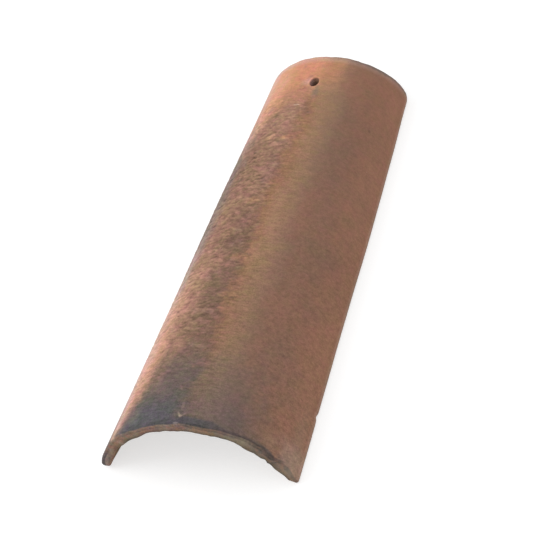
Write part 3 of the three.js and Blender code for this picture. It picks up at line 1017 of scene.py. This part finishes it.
def clay_material(shape, finish):
    """Fired clay. The kiln's flames kept the narrow end and the low left strip bare and orange, and smoke
    lay on the wide end and left of the crown. Each zone is a smooth step across or along the tile, and
    cloudy noise breaks up its edge."""
    material = bpy.data.materials.new("smoke_flashed_clay")
    clay = ClayGraph(material, shape, finish)
    coat = Coat(clay, "body")
    for lay in (lay_bands, lay_bare_side, lay_smoke, lay_rims, lay_inside, lay_ends):
        lay(clay, coat)
    for row in MARKS:
        coat.mark(*row)
    coat.lay("fleck", rise(clay.chips, 0.98, 1.12), 0.6)
    coat.lay("soot", rise(clay.dots, 1.0, 1.12), 0.45)

    wrinkled = wrinkles_on(clay)
    leaning = 0.5 + (0.78 - 0.42 * rise(clay.share, -0.1, 0.3) + 0.16 * clay.smoky) * clay.wander
    colour = clay.filtered(coat.colour, clay.tint(leaning, GREENER, PINKER))
    # Grain, and painted light and shade on the wrinkles, scale the colour.
    colour = clay.scaled(colour, grain_and_painted_light(clay, wrinkled))
    roughness = finish.roughness + 0.05 * clay.speckle + 0.04 * clay.patch
    relief = (0.04 + 0.96 * wrinkled) * (1.2 * clay.ripple + 0.6 * clay.streak)
    relief = relief + clay.grit * 0.4 + clay.speckle * 0.5
    bump = clay.node("ShaderNodeBump", {}, {"Height": relief, "Strength": 0.6, "Distance": 0.3 * MM})
    shader = clay.node("ShaderNodeBsdfPrincipled", {}, {
        "Base Color": colour, "Roughness": roughness, "Normal": bump, "Specular IOR Level": 0.12})
    clay.node("ShaderNodeOutputMaterial", {}, {"Surface": shader})
    return material


# ------------------------------------------------------------------------------
# Floor, lights and camera
# ------------------------------------------------------------------------------

KEY_DIRECTION = (-0.75, -0.20, 0.63)
KEY_DISTANCE = 1.8
KEY_SIZE = 1.3
FLOOR_SIZE = 6.0
FLOOR_MATT = 0.5  # how much of its colour the floor throws back, beside its glow


def seen_directly(graph):
    """1 for rays from the camera, also by way of metal and glass, and 0 for those that carry light."""
    camera = graph.node("ShaderNodeLightPath", {}, {}, output="Is Camera Ray")
    glossy = graph.node("ShaderNodeLightPath", {}, {}, output="Is Glossy Ray")
    through_glass = graph.node("ShaderNodeLightPath", {}, {}, output="Is Transmission Ray")
    return graph.maths("MINIMUM", camera + glossy + through_glass, 1.0)


def floor_material(look):
    """A pale floor that looks white, and still darkens where the tile keeps light from it."""
    material = bpy.data.materials.new("pale_floor")
    graph = Graph(material)
    dimmed = rgba([FLOOR_MATT * part for part in look.floor])
    matt = graph.node("ShaderNodeBsdfDiffuse", {}, {"Color": dimmed})
    glow = graph.node("ShaderNodeEmission", {}, {"Color": rgba(look.floor), "Strength": look.floor_glow})
    lit = graph.node("ShaderNodeAddShader", {}, {0: matt, 1: glow})
    surface = graph.node("ShaderNodeMixShader", {}, {0: seen_directly(graph), 1: matt, 2: lit})
    graph.node("ShaderNodeOutputMaterial", {}, {"Surface": surface})
    return material


def light_world(look):
    """Even light from all round, in front of which the camera sees white."""
    world = bpy.data.worlds.new("studio")
    bpy.context.scene.world = world
    graph = Graph(world)
    even = graph.node("ShaderNodeBackground", {}, {"Color": rgba(look.floor), "Strength": look.ambient})
    white = graph.node("ShaderNodeBackground", {}, {"Color": rgba(look.floor), "Strength": 1.0})
    surface = graph.node("ShaderNodeMixShader", {}, {0: seen_directly(graph), 1: even, 2: white})
    graph.node("ShaderNodeOutputWorld", {}, {"Surface": surface})


def facing(target, direction, distance, roll=0.0):
    """A place this far from the target, turned to look back at it and rolled about that line."""
    back = Vector(direction).normalized()
    right = Vector((0, 0, 1)).cross(back).normalized()
    turned = Matrix((right, back.cross(right), back)).transposed() @ Matrix.Rotation(roll, 3, "Z")
    return Matrix.Translation(Vector(target) + distance * back) @ turned.to_4x4()


def add_lamp(look):
    lamp = bpy.data.lights.new("key", "AREA")
    lamp.energy = look.key_power
    lamp.size = KEY_SIZE
    key = bpy.data.objects.new("key", lamp)
    key.matrix_world = facing((0, 0, 0), KEY_DIRECTION, KEY_DISTANCE)
    bpy.context.scene.collection.objects.link(key)


def add_camera(look):
    scene = bpy.context.scene
    lens = bpy.data.cameras.new("camera")
    lens.lens = look.lens
    camera = bpy.data.objects.new("camera", lens)
    level = math.cos(look.elevation)
    direction = (math.sin(look.azimuth) * level, -math.cos(look.azimuth) * level, math.sin(look.elevation))
    camera.matrix_world = facing(look.aim, direction, look.distance, look.roll)
    scene.collection.objects.link(camera)
    scene.camera = camera


def add_floor(look):
    half = FLOOR_SIZE / 2
    corners = np.array([(-half, -half, 0), (half, -half, 0), (half, half, 0), (-half, half, 0)])
    floor = add_piece("floor", corners, np.array([[0, 1, 2, 3]]), {})
    floor.data.materials.append(floor_material(look))


# ------------------------------------------------------------------------------
# Operators and panel
# ------------------------------------------------------------------------------

class ROOFTILE_OT_add_tile(bpy.types.Operator):
    """Add the fired-clay tile in place of its plain solid"""

    bl_idname = "roof_tile.add_tile"
    bl_label = "Add Tile"

    def execute(self, context):
        scene = context.scene
        shape = scene.tile_shape
        vertices, faces = tile_surface(shape)
        work = Handwork(shape, scene.clay_relief, vertices)
        places, hollow = work.finished()
        numbers = {
            "share": work.share,
            "up": vertices[:, 1] / shape.tile_length + 0.5,
            "depth": work.depth,
            "hollow": hollow,
            "along_drag": skin_places(shape, work.share, vertices[:, 1], work.depth)[:, 1],
            "shaft": (work.from_hole < shape.mouth_width / 2 - MOUTH_EDGE).astype(float),
        }
        tile = add_piece("tile_clay", places, faces, numbers)
        tile.data.materials.append(clay_material(shape, scene.clay_finish))
        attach(tile, "root")
        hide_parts(TILE_NODE)
        return {"FINISHED"}


class ROOFTILE_OT_add_stage(bpy.types.Operator):
    """Add the floor, the lights and the camera"""

    bl_idname = "roof_tile.add_stage"
    bl_label = "Add Stage"

    def execute(self, context):
        look = context.scene.stage_look
        context.scene.view_settings.view_transform = "Standard"
        add_floor(look)
        light_world(look)
        add_lamp(look)
        add_camera(look)
        return {"FINISHED"}


class ROOFTILE_PT_sidebar(bpy.types.Panel):
    """The tile's sizes, relief and colours, the stage, and the buttons that make them"""

    bl_idname = "ROOFTILE_PT_sidebar"
    bl_label = "Roof Tile"
    bl_space_type = "VIEW_3D"
    bl_region_type = "UI"
    bl_category = "Roof Tile"

    def draw(self, context):
        for step in STEPS:
            self.layout.operator(step.bl_idname)
        for name in GROUPS:
            box = self.layout.box()
            group = getattr(context.scene, name)
            for field in group.__annotations__:
                box.prop(group, field)


GROUPS = {
    "tile_shape": TileShape,
    "clay_relief": ClayRelief,
    "clay_finish": ClayFinish,
    "stage_look": StageLook,
}
STEPS = (ROOFTILE_OT_add_tile, ROOFTILE_OT_add_stage)
CLASSES = (*GROUPS.values(), *STEPS, ROOFTILE_PT_sidebar)


def register():
    for new_class in CLASSES:
        bpy.utils.register_class(new_class)
    for name, group in GROUPS.items():
        setattr(bpy.types.Scene, name, PointerProperty(type=group))


def unregister():
    for name in GROUPS:
        delattr(bpy.types.Scene, name)
    for new_class in reversed(CLASSES):
        bpy.utils.unregister_class(new_class)


def main():
    register()
    bpy.ops.roof_tile.add_tile()
    bpy.ops.roof_tile.add_stage()


if __name__ == "__main__":
    main()
